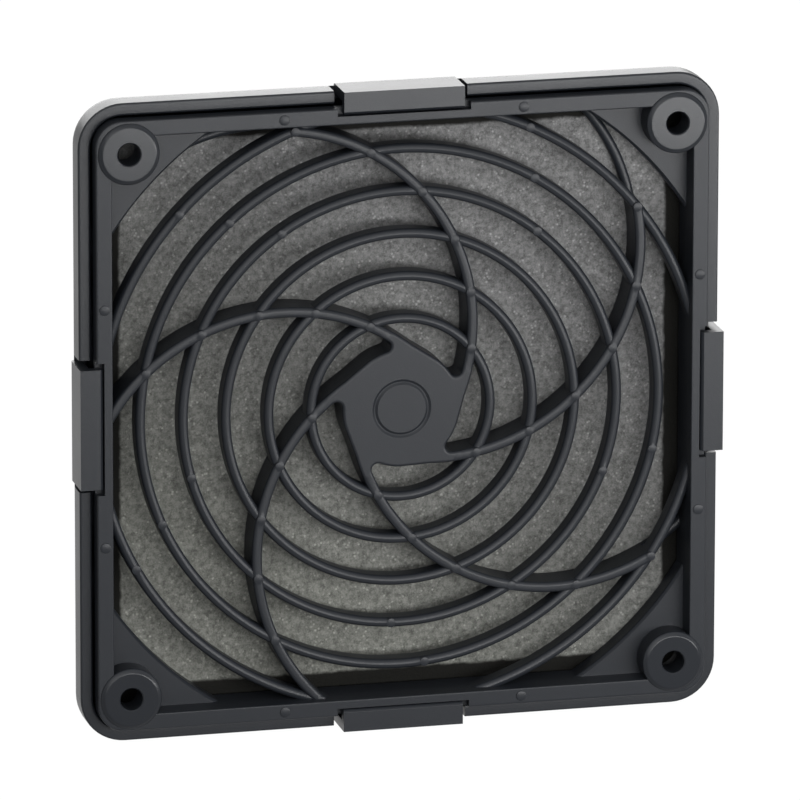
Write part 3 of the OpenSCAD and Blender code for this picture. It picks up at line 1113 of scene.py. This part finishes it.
# %% Foam pad
pad_low, pad_high = box_mm("filter_pad")
PAD_FACE = 1.3
PAD_LAYERS = 4
PINCH_DEPTH = 0.9
PINCH_WIDTH = 3.0
PINCH_UNEVEN = 0.25
UNEVEN_PER_MM = 0.15
WAVE_DEPTH = 0.15
WAVES_PER_MM = 0.1
PAD_SPREAD = 1.6
PAD_TAPER = 0.9
PAD_CORNER_R = 4.0
PAD_SMOOTH_BELOW = 60
pad_half = pad_high.x + PAD_SPREAD
pad_thickness = pad_high.y - pad_low.y


def smooth_step(value):
    """0 below 0, 1 above 1, and a smooth change between."""
    value = min(max(value, 0), 1)
    return value * value * (3 - 2 * value)


def press(vert):
    """Moves one point of the pad to where the squeezed edge has it."""
    depth = (vert.co.y - pad_low.y) / pad_thickness
    inward = pad_half - max(abs(vert.co.x), abs(vert.co.z))
    uneven = 1 + PINCH_UNEVEN * noise.noise(vert.co * UNEVEN_PER_MM)
    pinch = (1 - smooth_step(inward / (PINCH_WIDTH * uneven))) * PINCH_DEPTH
    wave = WAVE_DEPTH * (1 + noise.noise(vert.co * WAVES_PER_MM)) / 2
    vert.co.y += (1 - depth) * (pinch + wave)
    vert.co.x *= 1 - depth * PAD_TAPER / pad_half
    vert.co.z *= 1 - depth * PAD_TAPER / pad_half
    over = [abs(vert.co[axis]) - (pad_half - PAD_CORNER_R) for axis in (0, 2)]
    if min(over) > 0:
        pull = max(over) / hypot(*over)
        for axis, past in zip((0, 2), over):
            vert.co[axis] = copysign(pad_half - PAD_CORNER_R + past * pull, vert.co[axis])


def make_pad():
    """The pad: flat in the middle, curled forward along its edges."""
    bm = block(pad_half, -pad_thickness / 2, pad_thickness / 2)
    across = round(2 * pad_half / PAD_FACE)
    for axis, cuts, size in (((1, 0, 0), across, 2 * pad_half), ((0, 0, 1), across, 2 * pad_half),
                             ((0, 1, 0), PAD_LAYERS, pad_thickness)):
        for cut in range(1, cuts):
            cut_at(bm, Vector(axis) * (cut / cuts - 0.5) * size, axis)
    move(bm, (0, (pad_low.y + pad_high.y) / 2, 0))
    for vert in bm.verts:
        press(vert)
    return finish_piece(as_object("foam_pad", bm), "filter_pad", FOAM, PAD_SMOOTH_BELOW)


pad = make_pad()
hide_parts("filter_pad")

# %% [markdown]
# The photograph looks like a studio picture from a white tent, and two soft boxes give its look here. A long
# one stands low at the right, where the flat faces of the guard mirror it into the lens: its reflection is
# strong near the top and dies away toward the bottom, because the lower faces mirror the floor in front of
# it. A large one stands beside the camera and lights the foam between the ribs, and its shadows hide behind
# them. Three weaker ones, high at the right, at the left and above, leave the soft dark bands beside the
# ribs. The last one stands behind the object, for the cover's front.

# %% Light
SOFT_BOXES = [
    # name, azimuth and elevation in degrees, distance in metres, width and height in metres, watts
    ("low_strip", 31, -1, 0.42, 0.5, 0.1, 3.0),
    ("high_right", 42, 32, 0.9, 1.0, 0.8, 1.8),
    ("high_left", -36, 30, 0.9, 0.9, 0.8, 0.8),
    ("top", 0, 62, 0.9, 1.0, 0.8, 1.5),
    ("front", -14, 15, 1.2, 1.2, 1.2, 15),
    ("behind", 180, 22, 1.1, 1.0, 0.6, 7),
]


def soft_box(name, azimuth, elevation, distance, width, height, watts):
    """A rectangular area light that faces the middle of the object and isn't seen itself."""
    data = bpy.data.lights.new(name, "AREA")
    data.shape = "RECTANGLE"
    data.energy = watts
    data.size = width
    data.size_y = height
    lamp = new_object(name, data)
    aim = direction_to(radians(azimuth), radians(elevation))
    lamp.location = aim * distance
    lamp.rotation_euler = aim.to_track_quat("Z", "Y").to_euler()
    lamp.visible_camera = False
    return lamp


lamps = [soft_box(*values) for values in SOFT_BOXES]
print("soft boxes:", [lamp.name for lamp in lamps])

# %% [markdown]
# The tent itself is the world. It is white where the camera or a reflection sees it, as in the photograph,
# but as a light it would wash out every shadow, so for light that spreads it is only a weak fill.

# %% World
FILL_STRENGTH = 0.25
WHITE_STRENGTH = 1


def seen_directly(nodes, links):
    """1 for a ray from the camera, from a gloss or through glass, and 0 for light that spreads."""
    path = nodes.new("ShaderNodeLightPath")
    value = path.outputs["Is Camera Ray"]
    for name in ("Is Glossy Ray", "Is Transmission Ray"):
        value = worked_out(nodes, links, "MAXIMUM", value, path.outputs[name])
    return value


def show_either(nodes, links, factor, at_0, at_1, surface):
    """Gives a surface one shader where the factor is 0 and another where it is 1."""
    mix = nodes.new("ShaderNodeMixShader")
    links.new(factor, mix.inputs["Fac"])
    links.new(at_0.outputs[0], mix.inputs[1])
    links.new(at_1.outputs[0], mix.inputs[2])
    links.new(mix.outputs[0], surface.inputs["Surface"])


def white_world():
    """White where it is seen, and a weaker fill for everything else."""
    world = bpy.data.worlds.new("tent")
    world.use_nodes = True
    bpy.context.scene.world = world
    nodes, links = world.node_tree.nodes, world.node_tree.links
    fill = nodes["Background"]
    fill.inputs["Color"].default_value = (1, 1, 1, 1)
    fill.inputs["Strength"].default_value = FILL_STRENGTH
    white = nodes.new("ShaderNodeBackground")
    white.inputs["Color"].default_value = (1, 1, 1, 1)
    white.inputs["Strength"].default_value = WHITE_STRENGTH
    show_either(nodes, links, seen_directly(nodes, links), fill, white, nodes["World Output"])
    return world


world = white_world()
bpy.context.scene.view_settings.view_transform = "Standard"
print("world:", world.name, "with a fill of", FILL_STRENGTH)

# %% [markdown]
# The object stands on its lower tab. The floor is a pale sheet that looks white to the camera and only keeps
# a faint trace of the shadow, as the photograph has no ground at all.

# %% Floor
FLOOR_HALF = 3.0
FLOOR_GREY = 0.2
# The floor lies this far under the object, so that the two never share a surface
FLOOR_GAP = 0.0002
GLOW_STRENGTH = 1.07
GLOW_SHARE = 0.93


def floor_material():
    """Pale grey for light that spreads, and nearly white where it is seen."""
    material, nodes, links, shader = new_material("pale_floor")
    shader.inputs["Base Color"].default_value = (*grey(FLOOR_GREY), 1)
    shader.inputs["Roughness"].default_value = 0.9
    glow = nodes.new("ShaderNodeEmission")
    glow.inputs["Strength"].default_value = GLOW_STRENGTH
    share = worked_out(nodes, links, "MULTIPLY", seen_directly(nodes, links), GLOW_SHARE)
    show_either(nodes, links, share, shader, glow, nodes["Material Output"])
    return material


def make_floor():
    """A wide pale floor under the object."""
    bm = bmesh.new()
    bmesh.ops.create_grid(bm, x_segments=1, y_segments=1, size=FLOOR_HALF)
    move(bm, (0, 0, cad_low.z - FLOOR_GAP))
    mesh = bpy.data.meshes.new("floor")
    bm.to_mesh(mesh)
    bm.free()
    floor = new_object("floor", mesh)
    floor.data.materials.append(floor_material())
    return floor


floor = make_floor()
print("floor at", round(cad_low.z - FLOOR_GAP, 4), "m")
